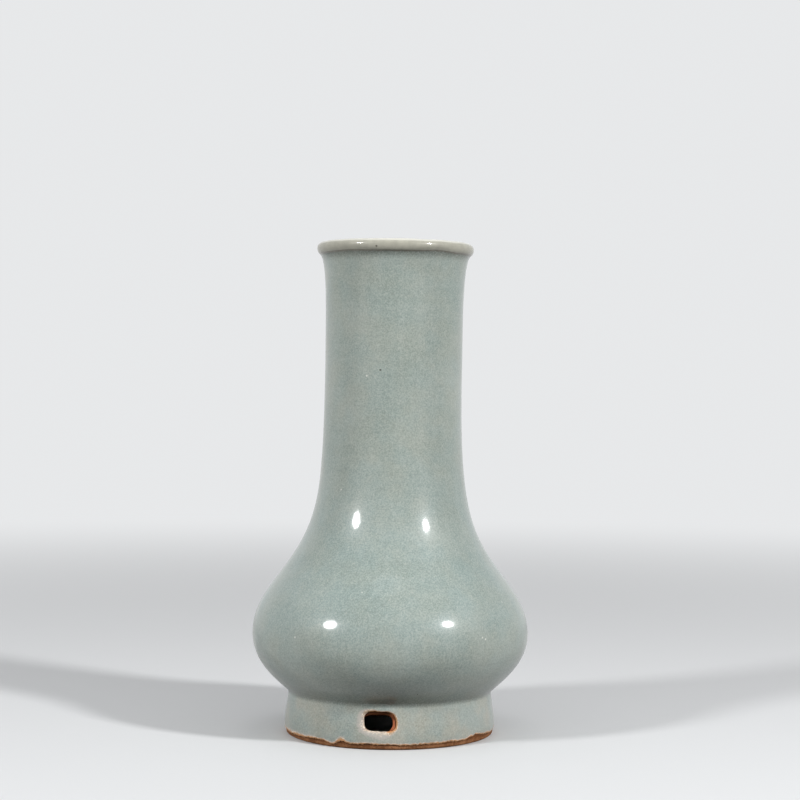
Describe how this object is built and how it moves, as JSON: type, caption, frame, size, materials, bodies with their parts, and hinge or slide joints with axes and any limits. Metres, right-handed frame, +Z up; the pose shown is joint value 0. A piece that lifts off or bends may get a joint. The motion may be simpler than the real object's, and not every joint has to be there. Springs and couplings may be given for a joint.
{
  "type": "vase",
  "caption": "Long-necked stoneware vase with a low turnip-shaped belly, a rolled lip and a foot ring pierced by cord slots, in crackled celadon glaze.",
  "frame": {"origin": "centre of the foot ring's resting circle, on the ground", "axes": "+Z up along the vase's axis; -Y towards the front cord slot; the neck leans slightly towards +X"},
  "size_m": [0.1184, 0.1184, 0.2103],
  "materials": {
    "celadon_glaze": "gloss, pale grey-green with a fine crackle",
    "inner_glaze": "gloss, pale grey-green with a fine crackle",
    "foot_well_glaze": "gloss, pale grey-green with a fine crackle",
    "stoneware": "bare, fired orange-brown",
    "slip": "bare, matt"
  },
  "bodies": {
    "root": {"foot_ring": "stoneware", "foot_luting": "slip", "lower_belly": "stoneware", "belly_luting": "slip", "upper_belly": "stoneware", "neck_luting": "slip", "neck": "stoneware", "outer_glaze": "celadon_glaze", "inner_glaze": "inner_glaze", "foot_well_glaze": "foot_well_glaze"}
  },
  "joints": []
}
